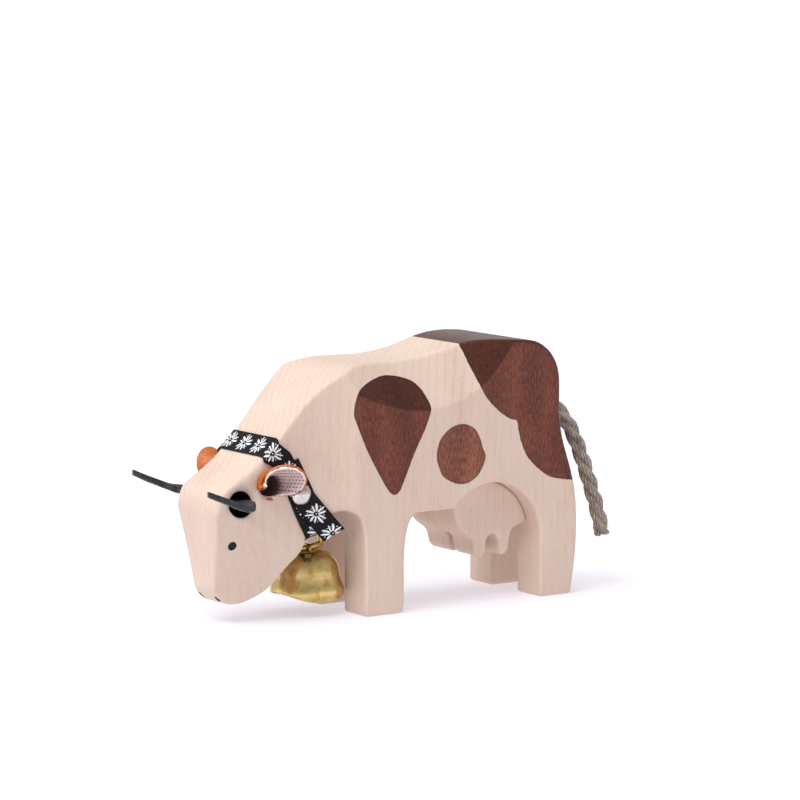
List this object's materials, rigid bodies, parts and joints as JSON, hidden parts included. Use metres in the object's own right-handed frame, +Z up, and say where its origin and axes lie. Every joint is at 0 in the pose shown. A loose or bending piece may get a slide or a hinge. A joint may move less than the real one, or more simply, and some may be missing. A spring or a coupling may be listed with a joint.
{
  "type": "cow figurine",
  "caption": "Grazing wooden cow cut from a board, with stained patches, leather horns and ears, a ribbon collar with a small brass bell, a glued udder and a rope tail.",
  "frame": {"origin": "on the floor, under the middle of the figure without its tail", "axes": "-X towards the nose, +Z up, -Y towards the cow's left side"},
  "size_m": [0.197, 0.0584, 0.1008],
  "materials": {
    "limewood": "sanded and unvarnished, with brown stained patches",
    "horn_leather": "dark, matt, cut edges",
    "ear_leather": "suede inside, orange grain outside",
    "ribbon": "woven, printed with pale flowers",
    "nickel": "polished",
    "brass": "polished, a little uneven",
    "hemp": "twisted natural fibre"
  },
  "bodies": {
    "figurine": {"body": "limewood", "udder": "limewood", "horns": "horn_leather", "ear_left": "ear_leather", "ear_right": "ear_leather", "collar_ribbon": "ribbon", "collar_nail": "nickel", "tail_rope": "hemp"},
    "ring": {"bell_ring": "brass"},
    "bell": {"bell_shell": "brass", "bell_staple": "brass"},
    "clapper": {"clapper": "brass"}
  },
  "joints": [
    {"name": "ring_on_ribbon", "type": "hinge", "parent": "figurine", "child": "ring", "pos_m": [-0.02701, -0.003, 0.03062], "axis": [0.9903, 0, 0.1392], "range_deg": [-22, 22]},
    {"name": "bell_on_ring", "type": "hinge", "parent": "ring", "child": "bell", "pos_m": [-0.02619, -0.003, 0.02478], "axis": [0.9903, 0, 0.1392], "range_deg": [-22, 22]},
    {"name": "clapper_in_bell", "type": "hinge", "parent": "bell", "child": "clapper", "pos_m": [-0.02619, -0.003, 0.01873], "axis": [0, 1, 0], "range_deg": [-54, 54]}
  ]
}
